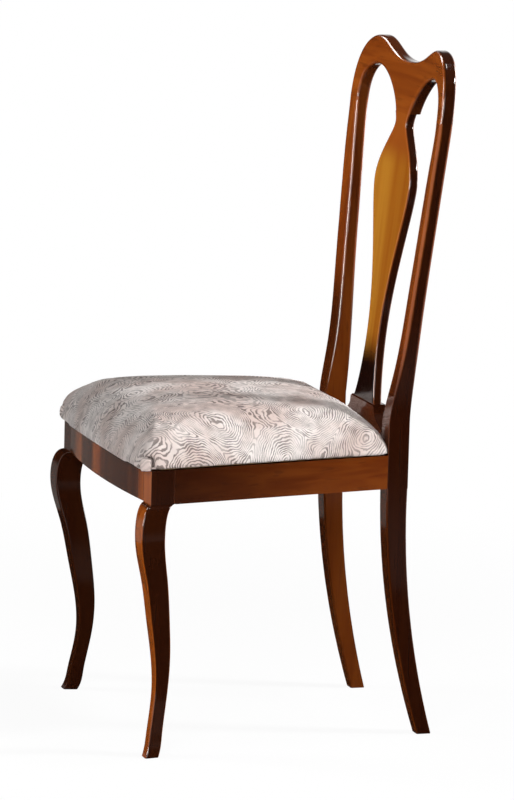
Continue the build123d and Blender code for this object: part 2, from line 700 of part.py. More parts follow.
# The chair stands on Z = 0, with the middle of its box over the origin
solids = {name: solids_of(made) for name, made in nodes.items()}
box = Compound([solid for group in solids.values() for solid in group]).bounding_box()
home = Location((-box.center().X, -box.center().Y, -box.min.Z))
os.makedirs("parts", exist_ok=True)
for name, group in solids.items():
    placed = [solid.moved(home) for solid in group]
    export_step(placed[0] if len(placed) == 1 else Compound(placed), f"parts/{name}.step")
print("size", box.size, "moved by", home.position)
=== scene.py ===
# %% [markdown]
# # A dining chair with an upholstered seat
# The wooden pieces come finished in shape from the CAD model. This lesson gives each of them a lacquered
# wood finish, upholsters the seat, and sets up a small photo studio around the chair.

# %% Load the chair's frame
import bpy
import numpy as np
from math import cos, pi, radians, sin
from mathutils import Matrix, Vector


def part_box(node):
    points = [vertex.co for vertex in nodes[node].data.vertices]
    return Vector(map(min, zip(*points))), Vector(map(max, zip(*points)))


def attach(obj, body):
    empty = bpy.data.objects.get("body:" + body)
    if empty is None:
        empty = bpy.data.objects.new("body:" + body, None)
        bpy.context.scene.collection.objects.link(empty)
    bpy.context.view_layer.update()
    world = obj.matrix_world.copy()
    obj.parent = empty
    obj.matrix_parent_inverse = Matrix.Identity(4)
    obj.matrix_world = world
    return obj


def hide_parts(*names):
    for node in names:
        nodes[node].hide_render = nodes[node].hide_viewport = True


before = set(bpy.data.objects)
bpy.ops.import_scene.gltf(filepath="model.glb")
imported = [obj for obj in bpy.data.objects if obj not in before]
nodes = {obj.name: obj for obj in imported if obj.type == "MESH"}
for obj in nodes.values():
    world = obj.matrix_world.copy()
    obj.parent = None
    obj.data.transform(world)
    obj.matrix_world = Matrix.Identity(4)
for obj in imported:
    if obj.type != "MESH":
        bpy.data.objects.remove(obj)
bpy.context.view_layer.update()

scene = bpy.context.scene
bpy.ops.object.select_all(action="DESELECT")

# %% [markdown]
# ## The camera
# The picture was taken from the chair's left and a little from above, from so far away that parallel edges
# hardly converge, so the lens is long. A camera could be turned by hand until the picture fits. Here it is
# placed by its azimuth and elevation around a target in the chair's middle, so each number means something.

# %% The camera
TARGET = Vector((0.0, 0.0031, 0.4820))
AZIMUTH = radians(72.45)
ELEVATION = radians(9.4)
ROLL = radians(1.59)
DISTANCE = 7.13
LENS = 214.94
UP = Vector((0.0, 0.0, 1.0))

backward = Vector((sin(AZIMUTH) * cos(ELEVATION), -cos(AZIMUTH) * cos(ELEVATION), sin(ELEVATION)))
level_right = UP.cross(backward).normalized()
level_up = backward.cross(level_right)
tilted_right = cos(ROLL) * level_right + sin(ROLL) * level_up
tilted_up = cos(ROLL) * level_up - sin(ROLL) * level_right
turn = Matrix((tilted_right, tilted_up, backward)).transposed().to_euler()
bpy.ops.object.camera_add(location=TARGET + DISTANCE * backward, rotation=turn)
camera = bpy.context.object
camera.data.lens = LENS
scene.camera = camera
print("camera at", [round(v, 3) for v in camera.location])

# %% [markdown]
# ## Writing a finish as sums
# A finish is a small program of shader nodes. Clicking nodes together works, but a formula is easier to
# read. The class below wraps an output socket, so that `1 - mask * 0.5` adds the Math nodes by itself, and a
# Finish holds one material with a single method that makes any other node.

# %% Sockets that can be reckoned with
class Socket:
    """An output of a shader node. Arithmetic on it adds Math nodes."""

    def __init__(self, finish, output):
        self.finish = finish
        self.output = output

    def reckon(self, operation, *values):
        return self.finish.node("ShaderNodeMath", {"operation": operation}, dict(enumerate(values)))

    def __add__(self, other):
        return self.reckon("ADD", self, other)

    def __radd__(self, other):
        return self.reckon("ADD", other, self)

    def __sub__(self, other):
        return self.reckon("SUBTRACT", self, other)

    def __rsub__(self, other):
        return self.reckon("SUBTRACT", other, self)

    def __mul__(self, other):
        return self.reckon("MULTIPLY", self, other)

    def __rmul__(self, other):
        return self.reckon("MULTIPLY", other, self)

    def __abs__(self):
        return self.reckon("ABSOLUTE", self)

    def sine(self):
        return self.reckon("SINE", self)

    def step(self, low, high):
        """0 below low, 1 above high, and a smooth rise between them."""
        settings = {"interpolation_type": "SMOOTHSTEP"}
        return self.finish.node("ShaderNodeMapRange", settings, {0: self, 1: low, 2: high})


# %% A finish under way
class Finish:
    """A material under way: its node tree and its Principled shader."""

    def __init__(self, name, **constants):
        self.material = bpy.data.materials.new(name)
        self.material.use_nodes = True
        self.tree = self.material.node_tree
        self.shader = self.tree.nodes["Principled BSDF"]
        for socket_name, value in constants.items():
            self.shader.inputs[socket_name.replace("_", " ")].default_value = value

    def feed(self, socket, value):
        if isinstance(value, Socket):
            self.tree.links.new(value.output, socket)
        else:
            socket.default_value = value

    def node(self, kind, settings=None, inputs=None, output=0):
        made = self.tree.nodes.new(kind)
        for name, value in (settings or {}).items():
            setattr(made, name, value)
        for key, value in (inputs or {}).items():
            self.feed(made.inputs[key], value)
        return Socket(self, made.outputs[output])

    def place(self, scale=(1.0, 1.0, 1.0), shift=(0.0, 0.0, 0.0)):
        """Object coordinates in metres, stretched and shifted."""
        spot = self.node("ShaderNodeTexCoord", output="Object")
        return self.node("ShaderNodeMapping", inputs={"Vector": spot, "Scale": scale, "Location": shift})

    def part(self, vector, axis):
        return self.node("ShaderNodeSeparateXYZ", inputs={0: vector}, output="XYZ".index(axis))

    def noise(self, vector, scale=1.0, detail=2.0, distortion=0.0):
        inputs = {"Vector": vector, "Scale": scale, "Detail": detail, "Distortion": distortion}
        return self.node("ShaderNodeTexNoise", inputs=inputs)

    def mix(self, factor, first, second):
        return self.node("ShaderNodeMix", {"data_type": "RGBA"}, {0: factor, 6: first, 7: second}, output=2)

    def bump(self, height, strength, distance):
        inputs = {"Height": height, "Strength": strength, "Distance": distance}
        return self.node("ShaderNodeBump", inputs=inputs)

    def show(self, **links):
        for socket_name, value in links.items():
            self.feed(self.shader.inputs[socket_name.replace("_", " ")], value)
        return self.material


# %% Colours as they are picked on a screen
def colour(red, green, blue):
    """A colour as it is picked on a screen, from 0 to 255, turned into the shader's linear light."""
    levels = [value / 255 for value in (red, green, blue)]
    return (*[v / 12.92 if v < 0.04045 else ((v + 0.055) / 1.055) ** 2.4 for v in levels], 1.0)


# %% [markdown]
# ## Lacquered walnut
# The frame is stained walnut under gloss lacquer. The sides of each piece carry painted shade, darker than
# its face, which gives every piece a dark outline. A photo of a board would do for the grain, but it needs
# an unwrapped mesh. Here the grain is noise in the chair's own coordinates, drawn out along the piece, and
# the painted shade follows the direction that a surface faces.

# %% The walnut finish
DARK_STAIN_AND_SHADE = colour(30, 9, 4)
STAIN_MIDDLE = colour(118, 50, 13)
STAIN_LIGHT = colour(164, 84, 26)
LACQUER = {"IOR": 1.4}
ALONG = 1.6                # grain figures to the metre along a piece
ACROSS = 42.0              # and across it
GRAIN_SCALES = (1.0, 0.22, 4.5)  # of streaks, broad figure and pores
STREAK_SHARE, BROAD_SHARE = 0.55, 0.45
SIDE_TONE = 0.04           # how much of the light stain is left on the sides under their painted shade
FACE_TURN = (0.35, 0.93)   # the painted shade gives way to the face's tone between these shares of facing
PORE_STAIN = 0.22          # how much darker a pore is
PORE_DEPTH = 0.0003        # in metres
LACQUER_ROUGHNESS = 0.07


def grain_places(finish, grain):
    """The place in the wood at three scales, drawn out along the grain: streaks, broad figure and pores."""
    stretch = [ALONG if axis == grain else ACROSS for axis in "XYZ"]
    places = []
    for scale in GRAIN_SCALES:
        places.append(finish.place([scale * each for each in stretch], (scale, 2 * scale, 3 * scale)))
    return places


def lacquered_walnut(name, grain, face, side_tone=SIDE_TONE, face_tone=1.0, turn=FACE_TURN, paler=None):
    """Walnut grained along one axis, lighter where it faces along another, with painted shade on its sides.
    """
    finish = Finish(name, **LACQUER)
    streak_place, broad_place, pore_place = grain_places(finish, grain)
    streaks = finish.noise(streak_place, 1.0, 4.0, 0.6)
    broad = finish.noise(broad_place, 1.0, 2.0)
    pores = finish.noise(pore_place, 1.0, 1.0)
    facing = abs(finish.part(finish.node("ShaderNodeTexCoord", output="Normal"), face))
    figure = streaks.step(0.34, 0.66) * STREAK_SHARE + broad.step(0.3, 0.7) * BROAD_SHARE
    pore_marks = pores.step(0.62, 0.72)
    side, front = [tone(finish) if callable(tone) else tone for tone in (side_tone, face_tone)]
    # Painted shade: the sides of a piece are painted darker than its face.
    tone = facing.step(*turn) * (front - side) + side
    if paler:
        tone = tone * paler(finish)
    wood = finish.mix(tone, DARK_STAIN_AND_SHADE, finish.mix(figure, STAIN_MIDDLE, STAIN_LIGHT))
    wood = finish.mix(pore_marks * PORE_STAIN, wood, DARK_STAIN_AND_SHADE)
    roughness = LACQUER_ROUGHNESS + figure * 0.03 + pore_marks * 0.08
    return finish.show(Base_Color=wood, Roughness=roughness, Normal=finish.bump(pores, 0.03, PORE_DEPTH))


def dress(names, material):
    for name in names:
        nodes[name].data.materials.clear()
        nodes[name].data.materials.append(material)
    print(material.name, "on", ", ".join(names))


# %% [markdown]
# ## Which piece gets which walnut
# A maker turns each board so that its grain runs along the piece. The side rails fade from dark at the front
# post to a warm brown at the rear. Upright stripes of painted reflection run up the front rail, the fronts
# of the stiles are painted darker towards the seat as shade, and the far sides carry less painted shade. The
# far front leg gets a copy of the walnut whose face is painted dark as shade. Each piece could have a
# material made by hand. One function makes them all instead, and takes a small formula where the tone of a
# piece's sides or face changes along it. Near and far mean the sides towards the camera and away from it.

# %% Walnut on the frame
RAIL_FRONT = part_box("side_rail_left")[0].y
RAIL_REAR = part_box("side_rail_left")[1].y
RAIL_TONE, RAIL_GAIN = 0.08, 0.5  # a side rail's tone at its front, and what it gains towards the rear
DARK_BELOW = (0.59, 0.69)  # heights over which the painted shade on the stiles' fronts gives way to light
NEAR_LOWER = 0.09          # and how much lower that is on the near stile
LOW_SHADE = 0.72            # how much of the light stain painted shade takes from the low fronts
BACK_TONE, FAR_GAIN, LOW_FAR_GAIN = 0.05, 0.2, 0.14  # tone of the sides under painted shade, and what the far ones gain
BAND_TONE, WISP_GAIN = 0.1, 0.12  # tone of the front rail between its painted reflections, and what its wisps gain
REFLECTED_STRIPES = ((-0.13, 0.03, 0.55), (-0.015, 0.034, 0.7), (0.21, 0.045, 0.6))  # middle, reach and strength


def fade_to_rear(finish):
    return RAIL_TONE + finish.part(finish.place(), "Y").step(RAIL_FRONT - 0.02, RAIL_REAR) * RAIL_GAIN


def low_share(finish):
    """1 up to a little above the seat, and 0 higher up the back."""
    near = finish.part(finish.place(), "X").step(-0.05, 0.05)
    return 1 - (finish.part(finish.place(), "Z") + near * NEAR_LOWER).step(*DARK_BELOW)


# Less painted shade on the far sides, and less again low down on the stiles.
def paler_far_sides(finish):
    far = 1 - finish.part(finish.place(), "X").step(-0.12, 0.12)
    return BACK_TONE + far * (FAR_GAIN + low_share(finish) * LOW_FAR_GAIN)


# Painted shade: the stiles' fronts are painted darker low down, towards the seat.
def shade_on_low_fronts(finish):
    return 1 - low_share(finish) * LOW_SHADE


def painted_reflection_bands(finish):
    """Painted reflections on the dark rail: two paler stripes and a paler end at the near post."""
    side = finish.part(finish.place(), "X")
    wisps = finish.noise(finish.place((60.0, 0.0, 0.5)), 1.0, 1.5).step(0.45, 0.7)
    tone = BAND_TONE + wisps * WISP_GAIN
    for middle, reach, strength in REFLECTED_STRIPES:
        tone = tone + (1 - abs(side - middle).step(0.3 * reach, reach)) * strength
    return tone


dress(["back_splat", "front_leg_left"], lacquered_walnut("walnut_upright", "Z", "Y"))
post_walnut = lacquered_walnut("walnut_post", "Z", "Y", paler_far_sides, shade_on_low_fronts, (0.15, 0.7))
dress(["rear_post_left", "rear_post_right"], post_walnut)
# Painted shade: the far front leg gets a copy of the upright walnut with its face painted dark.
dress(["front_leg_right"], lacquered_walnut("walnut_upright_shaded", "Z", "Y", face_tone=0.08))
dress(["crest_rail", "rear_rail"], lacquered_walnut("walnut_cross", "X", "Y", paler_far_sides))
dress(["splat_shoe"], lacquered_walnut("walnut_shoe", "X", "Y", face_tone=0.3))
# The front rail's upright stripes are painted reflections.
dress(["front_rail"], lacquered_walnut("walnut_painted_reflections", "Z", "Y", paler=painted_reflection_bands))
dress(["side_rail_left", "side_rail_right"], lacquered_walnut("walnut_side", "Y", "X", paler=fade_to_rear))

# %% [markdown]
# ## The splat's amber veneer
# The splat is faced with two leaves of a paler veneer, opened like a book, so their figure mirrors at the
# middle. The leaves could be two meshes. One material does it: its grain reads the distance from the middle,
# and the far leaf is painted a little lighter than the other as a painted sheen. At the neck the amber
# blends into the walnut, at the foot it turns dark, and its edges are painted dark as shade.

# %% The veneer
AMBER_LIGHT = colour(194, 128, 40)
AMBER_DEEP = colour(164, 88, 19)
SPLAT_LOW, SPLAT_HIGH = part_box("splat_veneer")
LEAF_ACROSS, LEAF_ALONG = 55.0, 2.4  # grain figures to the metre
FIGURE_SHARE, SHEEN_SHARE = 0.4, 0.6  # what grain and the painted sheen of a leaf add to the depth of the amber
FOOT_DARKENING = (0.12, 0.25)  # shares of the splat's height over which the dark foot ends
NECK_STAIN = (0.19, 0.1)   # and, down from its top, over which the walnut neck begins


def amber_veneer():
    finish = Finish("amber_veneer", **LACQUER)
    spot = finish.place()
    side = finish.part(spot, "X")
    height = finish.part(spot, "Z")
    leaf = finish.node("ShaderNodeCombineXYZ", inputs={0: abs(side) * LEAF_ACROSS, 2: height * LEAF_ALONG})
    figure = finish.noise(leaf, 1.0, 4.0, 0.8).step(0.32, 0.68)
    # Painted sheen: the far leaf is painted lighter than the near one.
    painted_sheen = side.step(-0.012, 0.012)
    amber = finish.mix(figure * FIGURE_SHARE + painted_sheen * SHEEN_SHARE, AMBER_LIGHT, AMBER_DEEP)
    rise = SPLAT_HIGH.z - SPLAT_LOW.z
    foot = 1 - height.step(*[SPLAT_LOW.z + share * rise for share in FOOT_DARKENING])
    neck = height.step(*[SPLAT_HIGH.z - share * rise for share in NECK_STAIN])
    stained = finish.mix(foot, finish.mix(neck, amber, STAIN_LIGHT), DARK_STAIN_AND_SHADE)
    # Painted shade: the splat's edges are painted dark.
    facing = abs(finish.part(finish.node("ShaderNodeTexCoord", output="Normal"), "Y"))
    wood = finish.mix(facing.step(0.3, 0.9), DARK_STAIN_AND_SHADE, stained)
    return finish.show(Base_Color=wood, Roughness=0.1 + figure * 0.05)


dress(["splat_veneer"], amber_veneer())

# %% [markdown]
# ## Bare wood and steel under the seat
# Nobody lacquers what the seat hides: corner blocks and dowels are bare beech, the seat board is plywood,
# and the screws are zinc-plated. A plain colour would do for pieces that hardly show, but a little grain
# costs one noise.

# %% Beech, plywood and zinc
def bare_wood(name, pale, deep, stretch):
    finish = Finish(name)
    grain = finish.noise(finish.place(stretch), 1.0, 4.0, 0.4)
    wood = finish.mix(grain.step(0.35, 0.65), pale, deep)
    return finish.show(Base_Color=wood, Roughness=0.6 + grain * 0.2)


def zinc():
    finish = Finish("zinc", Metallic=1.0)
    spangle = finish.noise(finish.place(), 900.0, 2.0)
    tint = finish.mix(spangle.step(0.3, 0.7), colour(150, 150, 152), colour(196, 196, 198))
    return finish.show(Base_Color=tint, Roughness=0.28 + spangle * 0.2)


BLOCKS = [name for name in nodes if name.startswith("corner_block") and "screws" not in name]
DOWELS = [name for name in nodes if name.endswith("dowels")]
SCREWS = [name for name in nodes if name.endswith("screws")]
beech = bare_wood("bare_beech", colour(205, 172, 130), colour(178, 138, 96), (8.0, 60.0, 60.0))
plywood = bare_wood("plywood", colour(214, 184, 140), colour(176, 136, 92), (5.0, 40.0, 600.0))
dress(BLOCKS + DOWELS, beech)
dress(["seat_board"], plywood)
dress(SCREWS, zinc())

# %% [markdown]
# ## The seat pad
# On the real chair, foam on a board is covered with fabric that is pulled tight and stapled underneath. A
# subdivided box would look like a box, so the pad is inflated as cloth instead: the CAD foam and board are
# copied, melted into one even skin around both, and blown up a little while its underside stays pinned.

# %% Helpers for meshes
def only(piece):
    """Selects one piece and makes it the active one, which Blender's operators work on."""
    bpy.ops.object.select_all(action="DESELECT")
    piece.select_set(True)
    bpy.context.view_layer.objects.active = piece


def add_modifier(piece, kind, **settings):
    made = piece.modifiers.new(kind.lower(), kind)
    for name, value in settings.items():
        setattr(made, name, value)
    return made


def apply_modifier(piece, kind, **settings):
    made = add_modifier(piece, kind, **settings)
    only(piece)
    bpy.ops.object.modifier_apply(modifier=made.name)


def points_of(piece, what="co"):
    flat = np.empty(len(piece.data.vertices) * 3)
    piece.data.vertices.foreach_get(what, flat)
    return flat.reshape(-1, 3)


def set_points(piece, points):
    piece.data.vertices.foreach_set("co", np.asarray(points).ravel())
    piece.data.update()


# %% Melt foam and board into one skin
VOXEL = 0.005
RAIL_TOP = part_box("side_rail_left")[1].z
BOARD_GROWTH = 0.0055      # the skin stands this far out around the board


def copy_of(name):
    piece = bpy.data.objects.new(name + "_copy", nodes[name].data.copy())
    scene.collection.objects.link(piece)
    return piece


def grow_in_plan(piece, growth):
    points = points_of(piece)
    low, high = points.min(axis=0), points.max(axis=0)
    factor = 1 + 2 * growth / (high - low)
    factor[2] = 1.0
    set_points(piece, (low + high) / 2 + (points - (low + high) / 2) * factor)


foam, board = copy_of("seat_foam"), copy_of("seat_board")
grow_in_plan(board, BOARD_GROWTH)
only(foam)
board.select_set(True)
bpy.ops.object.join()
pad = bpy.context.object
pad.name = pad.data.name = "seat_pad"
bpy.ops.object.mode_set(mode="EDIT")
bpy.ops.mesh.select_all(action="SELECT")
bpy.ops.mesh.remove_doubles(threshold=0.00005)
bpy.ops.object.mode_set(mode="OBJECT")
apply_modifier(pad, "REMESH", mode="VOXEL", voxel_size=VOXEL)
apply_modifier(pad, "SMOOTH", factor=0.5, iterations=5)
print("seat pad skin", len(pad.data.vertices), "points")

# %% Inflate the skin as cloth
SIM_FRAMES = 20
PRESSURE = 4.0
MOST_SWELL = 0.005         # cap on how far a point may move
HELD_BELOW = 0.004         # height above the rails up to which the skin is pinned


def inflate(piece, pressure):
    start = points_of(piece)
    held = [int(index) for index in np.nonzero(start[:, 2] < RAIL_TOP + HELD_BELOW)[0]]
    group = piece.vertex_groups.new(name="held")
    group.add(held, 1.0, "REPLACE")
    cloth = add_modifier(piece, "CLOTH")
    cloth.settings.use_pressure = True
    cloth.settings.uniform_pressure_force = pressure
    cloth.settings.effector_weights.gravity = 0.0
    cloth.settings.vertex_group_mass = "held"
    cloth.point_cache.frame_start = 1
    cloth.point_cache.frame_end = SIM_FRAMES
    for step in range(1, SIM_FRAMES + 1):
        scene.frame_set(step)
    bpy.ops.object.modifier_apply(modifier=cloth.name)
    scene.frame_set(1)
    moved = points_of(piece) - start
    reach = np.linalg.norm(moved, axis=1, keepdims=True)
    set_points(piece, start + moved * np.minimum(1.0, MOST_SWELL / np.maximum(reach, 1e-9)))
    usual, most = [round(float(each) * 1000, 1) for each in (reach.mean(), reach.max())]
    print("cloth moved by", usual, "mm, at most", most)


only(pad)
inflate(pad, PRESSURE)
apply_modifier(pad, "SUBSURF", levels=1, render_levels=1)
bpy.ops.object.shade_smooth()
print("seat pad", len(pad.data.polygons), "faces, top at", round(float(points_of(pad)[:, 2].max()), 4))

# %% [markdown]
# ## The roll at the front
# The cloth is drawn over the front edge last, and the foam bulges there into a soft roll that hangs a little
# in front of the rail. It could be sculpted by hand. A formula is easier to change: the points that face
# forwards are pushed out, most of all low down.

# %% Roll the front edge
ROLL_OUT, ROLL_HEIGHT, ROLL_REACH = 0.006, 0.012, 0.022
ROLL_DROP = 0.0025


def smooth_rise(values, low, high):
    share = np.clip((values - low) / (high - low), 0.0, 1.0)
    return share * share * (3 - 2 * share)


def roll_front(piece):
    points = points_of(piece)
    rise = points[:, 2] - RAIL_TOP
    forward = smooth_rise(-points_of(piece, "normal")[:, 1], 0.1, 0.75)
    points[:, 1] -= ROLL_OUT * forward * np.exp(-(((rise - ROLL_HEIGHT) / ROLL_REACH) ** 2))
    points[:, 2] -= ROLL_DROP * forward * np.exp(-((rise / ROLL_HEIGHT) ** 2))
    set_points(piece, points)


roll_front(pad)
print("front roll reaches y", round(float(points_of(pad)[:, 1].min()), 4))

# %% [markdown]
# ## Corners and pleats
# At the rear the cloth is pulled down hard, so the pad thins out there towards two sharp corners. At the
# front, flat cloth can't go round the corner, and the upholsterer folds what is left over into a small pouch
# with a crease beside it. Loose cloth in a simulation would fold too, but not where it should. So the faces
# around each front corner are divided, and their points are pushed out over the pouch and in along its rim.
# How deep each point lies in the fold is stored for the fabric, which paints shade into the creases and a
# highlight onto the pouch.

# %% Draw the rear corners out
DRAW_REACH = 0.085
DRAW_OUT, DRAW_DOWN = 0.006, 0.006
WALL = (0.004, 0.016)      # heights above the rails between which a corner is looked for


def corner_of(piece, side, end):
    """The point of the pad's wall that reaches furthest towards one corner."""
    points = points_of(piece)
    low, high = [RAIL_TOP + rise for rise in WALL]
    wall = points[(points[:, 2] > low) & (points[:, 2] < high)]
    return wall[np.argmax(wall[:, 0] * side + wall[:, 1] * end)]


def draw_corner(piece, side):
    points = points_of(piece)
    corner = corner_of(piece, side, 1)
    near = 1 - smooth_rise(np.linalg.norm((points - corner)[:, :2], axis=1), 0.0, DRAW_REACH)
    rise = points[:, 2] - RAIL_TOP
    low = 1 - smooth_rise(rise, 0.0, 0.05)
    high = smooth_rise(rise, 0.004, 0.03)
    points[:, 0] += 0.3 * side * DRAW_OUT * near * low
    points[:, 1] += DRAW_OUT * near * low
    points[:, 2] -= DRAW_DOWN * near * high
    set_points(piece, points)


for side in (-1, 1):
    draw_corner(pad, side)
    print("rear corner at", [round(float(v), 4) for v in corner_of(pad, side, 1)])

# %% Fold the pleats at the front corners
PATCH_REACH = 0.032        # around the corner, the patch that is divided
POUCH_WIDTH, POUCH_HEIGHT, POUCH_ROUND = 0.019, 0.019, 0.005
POUCH_OUT, POUCH_SLOPE = 0.0032, 0.004
CREASE_IN, CREASE_WIDTH = 0.0064, 0.0020
FOLD_SHARE = {1: 1.0, -1: 0.35}  # the far corner is folded flatter than the near one


def divide_patch(piece, corner):
    for face in piece.data.polygons:
        away = face.center - Vector(corner)
        face.select = away.xy.length < PATCH_REACH and face.center.z < RAIL_TOP + PATCH_REACH
    only(piece)
    bpy.ops.object.mode_set(mode="EDIT")
    bpy.ops.mesh.select_mode(type="FACE")
    bpy.ops.mesh.subdivide(number_cuts=3)
    bpy.ops.mesh.select_all(action="DESELECT")
    bpy.ops.object.mode_set(mode="OBJECT")


def fold_pleat(piece, corner, side):
    """Pushes a rounded pouch out and a crease in around it, deepest on the flank of the pad."""
    points = points_of(piece)
    normals = points_of(piece, "normal")
    outward = np.array([side, -1.0, 0.0]) / np.sqrt(2)
    along = np.array([side, 1.0, 0.0]) / np.sqrt(2)
    across = (points - corner) @ along
    height = points[:, 2] - RAIL_TOP
    past_side = np.abs(across) - (POUCH_WIDTH / 2 - POUCH_ROUND)
    past_top = height - (POUCH_HEIGHT - POUCH_ROUND)
    outside = np.hypot(np.maximum(past_side, 0.0), np.maximum(past_top, 0.0)) - POUCH_ROUND
    inside = np.minimum(np.maximum(past_side, past_top), 0.0)
    rim = outside + inside
    pouch = POUCH_OUT * smooth_rise(-rim, 0.0, POUCH_SLOPE)
    flank = 0.35 + 0.65 * smooth_rise(across, -0.002, 0.006)
    crease = CREASE_IN * flank * np.exp(-(((rim - 0.5 * CREASE_WIDTH) / CREASE_WIDTH) ** 2))
    away = np.linalg.norm((points - corner)[:, :2], axis=1)
    near = 1 - smooth_rise(away, 0.7 * PATCH_REACH, PATCH_REACH)
    facing = FOLD_SHARE[side] * smooth_rise(normals @ outward, 0.1, 0.6)
    set_points(piece, points + normals * ((pouch - crease) * near * facing)[:, None])
    # How deep a point lies in the crease, for painted shade, and on the pouch, for a painted highlight.
    depths = np.stack([crease / CREASE_IN, pouch / POUCH_OUT, np.zeros_like(rim)], axis=1)
    return depths * (near * facing)[:, None]


corners = {side: corner_of(pad, side, -1) for side in (-1, 1)}
for corner in corners.values():
    divide_patch(pad, corner)
folds = sum(fold_pleat(pad, corner, side) for side, corner in corners.items())
pleat = pad.data.attributes.new("pleat", "FLOAT_VECTOR", "POINT")
pleat.data.foreach_set("vector", folds.ravel())
print("pleats folded, pad has", len(pad.data.polygons), "faces")

# %% [markdown]
# ## The woven fabric
# The cover is a silvery jacquard with lines like the grain of wood. Its pattern has to follow the cloth over
# the shoulder of the pad, so each point of the mesh stores where it lies on the flat cloth: as far out from
# the middle as one would walk along the surface. The lines could be drawn as an image. Here they are rings
# around scattered points. One noise pulls the rings out of shape, a second makes them waver, a third
# thickens a line or breaks it, and a fourth lets them fade in patches. Broad rose-grey patches in the ground
# are partly the cloth's own tone and partly a painted satin sheen. Little light gets into a fold, so the
# creases are painted dark as shade, and the lines fade on the pouch as a painted highlight.

# %% Where each point lies on the flat cloth
SHOULDER = 0.8             # share of a point's drop that adds to the way along the cloth


def lay_flat(piece):
    points = points_of(piece)
    middle = (points.max(axis=0) + points.min(axis=0)) / 2
    plan = points[:, :2] - middle[:2]
    drop = points[:, 2].max() - points[:, 2]
    out = np.linalg.norm(plan, axis=1, keepdims=True)
    walked = out + SHOULDER * drop[:, None]
    flat = np.zeros_like(points)
    flat[:, :2] = plan * walked / np.maximum(out, 1e-6)
    place = piece.data.attributes.new("cloth_place", "FLOAT_VECTOR", "POINT")
    place.data.foreach_set("vector", flat.ravel())
    print("flat cloth", [round(float(v), 3) for v in np.ptp(flat, axis=0)[:2]], "metres")


lay_flat(pad)

# %% The jacquard
SILVER = colour(240, 232, 228)
ROSE_GREY = colour(216, 197, 190)
CONTOUR = colour(96, 82, 77)
# Painted shade for the creases of the pleats.
CREASE_SHADE = colour(70, 58, 54)
EYES = 9.5                 # ring centres to the metre
FLOW = 0.082               # how far the rings are pulled out of shape, in metres
RING_STEP = 0.0038         # from one line to the next, in metres
WAVER = 17.0               # how far a line strays at most, in radians of its wave
WEIGHT = 2.2               # how much a line is thickened or thinned at most
THREADS = 1100.0           # threads to the metre
DRIFT_SCALE, WAVER_SCALE, WEIGHT_SCALE, PATCH_SCALE = 8.0, 48.0, 60.0, 20.0  # of the four noises
LINE_SHARE = 0.85          # how much of the ground a full line covers
CREASE_SHARE = 0.75        # and how much of the cloth the painted shade of a crease covers
WEAVE_DEPTH = 0.001        # in metres


def woven_lines(finish, place, threads):
    """1 on a full line of the pattern and 0 on the ground."""
    drifting = {"Vector": place, "Scale": DRIFT_SCALE, "Detail": 2.5}
    drift = finish.node("ShaderNodeTexNoise", inputs=drifting, output="Color")
    flowing = {"operation": "MULTIPLY_ADD"}
    flow = finish.node("ShaderNodeVectorMath", flowing, {0: drift, 1: (FLOW, FLOW, 0.0), 2: place})
    rings_of = {"Vector": flow, "Scale": EYES, "Smoothness": 0.15}
    eyes = finish.node("ShaderNodeTexVoronoi", {"feature": "SMOOTH_F1"}, rings_of)
    rings = eyes * (2 * pi / (EYES * RING_STEP)) + finish.noise(place, WAVER_SCALE, 2.5) * WAVER
    weight = finish.noise(place, WEIGHT_SCALE, 3.0) * (2 * WEIGHT)
    patches = finish.noise(place, PATCH_SCALE, 2.0).step(0.36, 0.62)
    lines = (rings.sine() + weight - WEIGHT).step(-0.3, 0.8)
    return lines * (0.65 + threads.step(0.25, 0.6) * 0.35) * (0.5 + patches * 0.5)


def jacquard():
    finish = Finish("silver_jacquard", Sheen_Weight=0.1, Sheen_Roughness=0.4, Specular_IOR_Level=0.05)
    place = finish.node("ShaderNodeAttribute", {"attribute_name": "cloth_place"}, output="Vector")
    pleat = finish.node("ShaderNodeAttribute", {"attribute_name": "pleat"}, output="Vector")
    crease, pouch = finish.part(pleat, "X"), finish.part(pleat, "Y")
    threads = finish.noise(place, THREADS, 1.0)
    # Painted highlight: the lines fade on the pouch.
    lines = woven_lines(finish, place, threads) * (1 - pouch * 0.7)
    # Broad patches of rose grey: partly the cloth's own tone, partly a painted satin sheen.
    ground = finish.mix(finish.noise(place, 9.0, 3.0).step(0.36, 0.64), SILVER, ROSE_GREY)
    cloth = finish.mix(lines * LINE_SHARE, ground, CONTOUR)
    # Painted shade in the creases.
    cloth = finish.mix(crease.step(0.2, 0.9) * CREASE_SHARE, cloth, CREASE_SHADE)
    weave = finish.bump(threads * 0.3 - lines * 0.7, 0.7, WEAVE_DEPTH)
    return finish.show(Base_Color=cloth, Roughness=0.7 + lines * 0.2, Normal=weave)


pad.data.materials.clear()
pad.data.materials.append(jacquard())
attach(pad, "root")
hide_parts("seat_cover", "seat_foam")
print(pad.data.materials[0].name, "on", pad.name)

# %% [markdown]
# ## The dust cover
# A thin black cloth closes the underside of the pad. It could be draped as cloth, but it is a flat sheet
# that is stapled all round, so a grid that is tapered to the seat's plan, with a slight sag, is enough.

# %% The dust cover
COVER_LOW, COVER_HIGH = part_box("dust_cover")
COVER_THICKNESS = 0.0006
COVER_LIFT = 0.0004        # height of its edge above the underside of the CAD cover
TAPER = 0.3                # share of the width that is lost towards the rear
SAG = 0.0012


def taper_to_seat(points):
    """Narrows a rectangle to the seat's plan, towards the rear."""
    rear_share = (points[:, 1] - COVER_LOW.y) / (COVER_HIGH.y - COVER_LOW.y)
    points[:, 0] *= 1.0 - TAPER * rear_share
    inward = 1.0 - (points[:, 0] / COVER_HIGH.x) ** 2
    middle = np.clip(4 * rear_share * (1 - rear_share), 0.0, 1.0) * np.clip(inward, 0.0, 1.0)
    points[:, 2] -= SAG * middle
    return points


